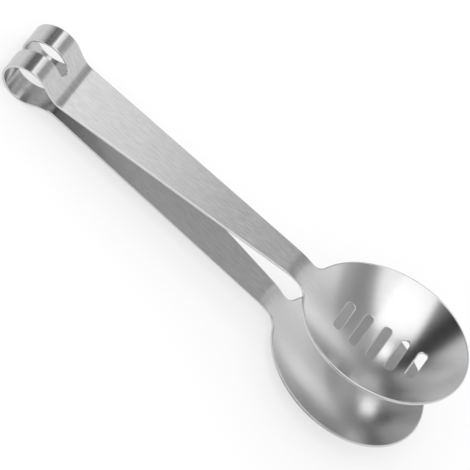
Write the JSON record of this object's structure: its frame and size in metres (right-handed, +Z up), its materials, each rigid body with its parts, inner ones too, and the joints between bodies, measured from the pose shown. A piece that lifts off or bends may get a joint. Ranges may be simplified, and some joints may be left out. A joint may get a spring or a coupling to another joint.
{
  "type": "tea bag tongs",
  "caption": "Sprung tongs of sheet steel with a split round eye, tapering arms and shallow bowls, the upper bowl slotted, for lifting a tea bag and pressing it dry.",
  "frame": {"origin": "on the table, under the middle of the tongs' box as they lie on the eye and on the lower bowl", "axes": "+X from the sprung eye to the bowls' tips, +Y to the left seen from the eye, +Z up; both bowls are hollow upwards"},
  "size_m": [0.163, 0.0428, 0.0445],
  "materials": {
    "brushed_steel": "brushed along the strip",
    "satin_steel": "satin, pressed"
  },
  "bodies": {
    "lower_jaw": {"lower_arm": "brushed_steel", "lower_bowl": "satin_steel", "left_spring_band": "brushed_steel", "right_spring_band": "brushed_steel"},
    "upper_jaw": {"upper_arm": "brushed_steel", "upper_bowl": "satin_steel"}
  },
  "joints": [
    {"name": "squeeze", "type": "hinge", "parent": "lower_jaw", "child": "upper_jaw", "pos_m": [-0.07358, 0, 0.0079], "axis": [0, 1, 0], "range_deg": [0, 11.5], "stiffness_Nm_per_rad": 5.5, "deforming": ["left_spring_band", "right_spring_band"]}
  ]
}
